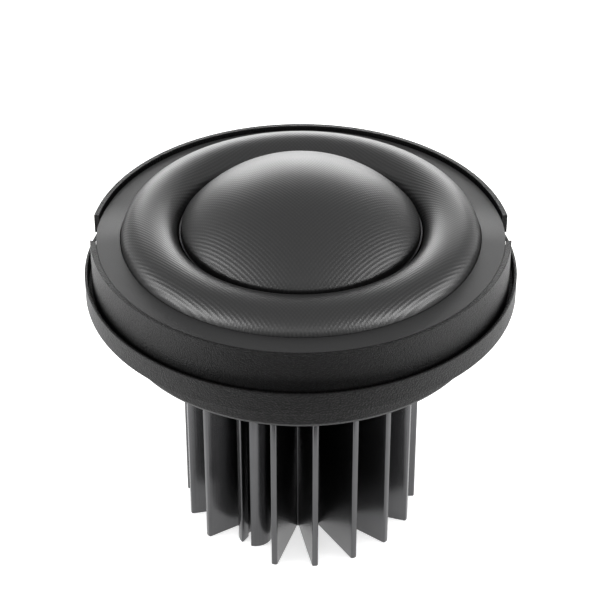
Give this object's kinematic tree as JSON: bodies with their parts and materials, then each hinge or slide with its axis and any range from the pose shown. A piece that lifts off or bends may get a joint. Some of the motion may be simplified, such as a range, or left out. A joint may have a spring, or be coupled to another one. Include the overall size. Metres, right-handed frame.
{
  "type": "car tweeter",
  "caption": "Soft-dome car tweeter with a woven dome and roll surround, flanged basket, press-on trim ring and finned heat sink.",
  "frame": {"origin": "on the axis, in the plane of the heat sink fins' feet", "axes": "+Z along the axis towards the dome, front of the trim's skirt towards -Y, terminals towards +Y"},
  "size_m": [0.05, 0.05, 0.0466],
  "materials": {
    "anodised_aluminium": "satin black anodised extrusion",
    "zinc_steel": "bright zinc plate",
    "thermal_pad": "matt silicone",
    "black_casting": "fine-textured black coat on a casting",
    "motor_steel": "turned and nickel plated",
    "nickel_plate": "bright nickel",
    "copper": "enamelled or bare copper",
    "felt": "pressed wool felt",
    "woven_textile": "coated fine weave with a soft sheen",
    "former_foil": "bright foil",
    "gasket_foam": "closed-cell foam",
    "black_plastic": "satin moulded",
    "grained_plastic": "fine spark-grained moulding",
    "brass": "tinned brass strip"
  },
  "bodies": {
    "housing": {"heat_sink": "anodised_aluminium", "heat_sink_screw_front": "zinc_steel", "heat_sink_screw_rear": "zinc_steel", "thermal_pad": "thermal_pad", "basket": "black_casting", "yoke_cup": "motor_steel", "magnet": "nickel_plate", "pole_plate": "motor_steel", "shorting_cap": "copper", "pole_felt": "felt", "chamber_felt": "felt", "surround": "woven_textile", "diaphragm_gasket": "gasket_foam", "diaphragm_ring": "black_plastic", "faceplate": "black_plastic", "trim_ring": "grained_plastic", "terminal_block": "black_plastic", "terminal_plus": "brass", "terminal_minus": "brass", "lead_plus": "copper", "lead_minus": "copper"},
    "diaphragm": {"dome": "woven_textile", "voice_coil_former": "former_foil", "voice_coil": "copper"}
  },
  "joints": [
    {"name": "diaphragm_travel", "type": "slide", "parent": "housing", "child": "diaphragm", "axis": [0, 0, 1], "range_m": [-0.0005, 0.0005], "stiffness_N_per_m": 600, "deforming": ["surround", "lead_plus", "lead_minus"]}
  ]
}
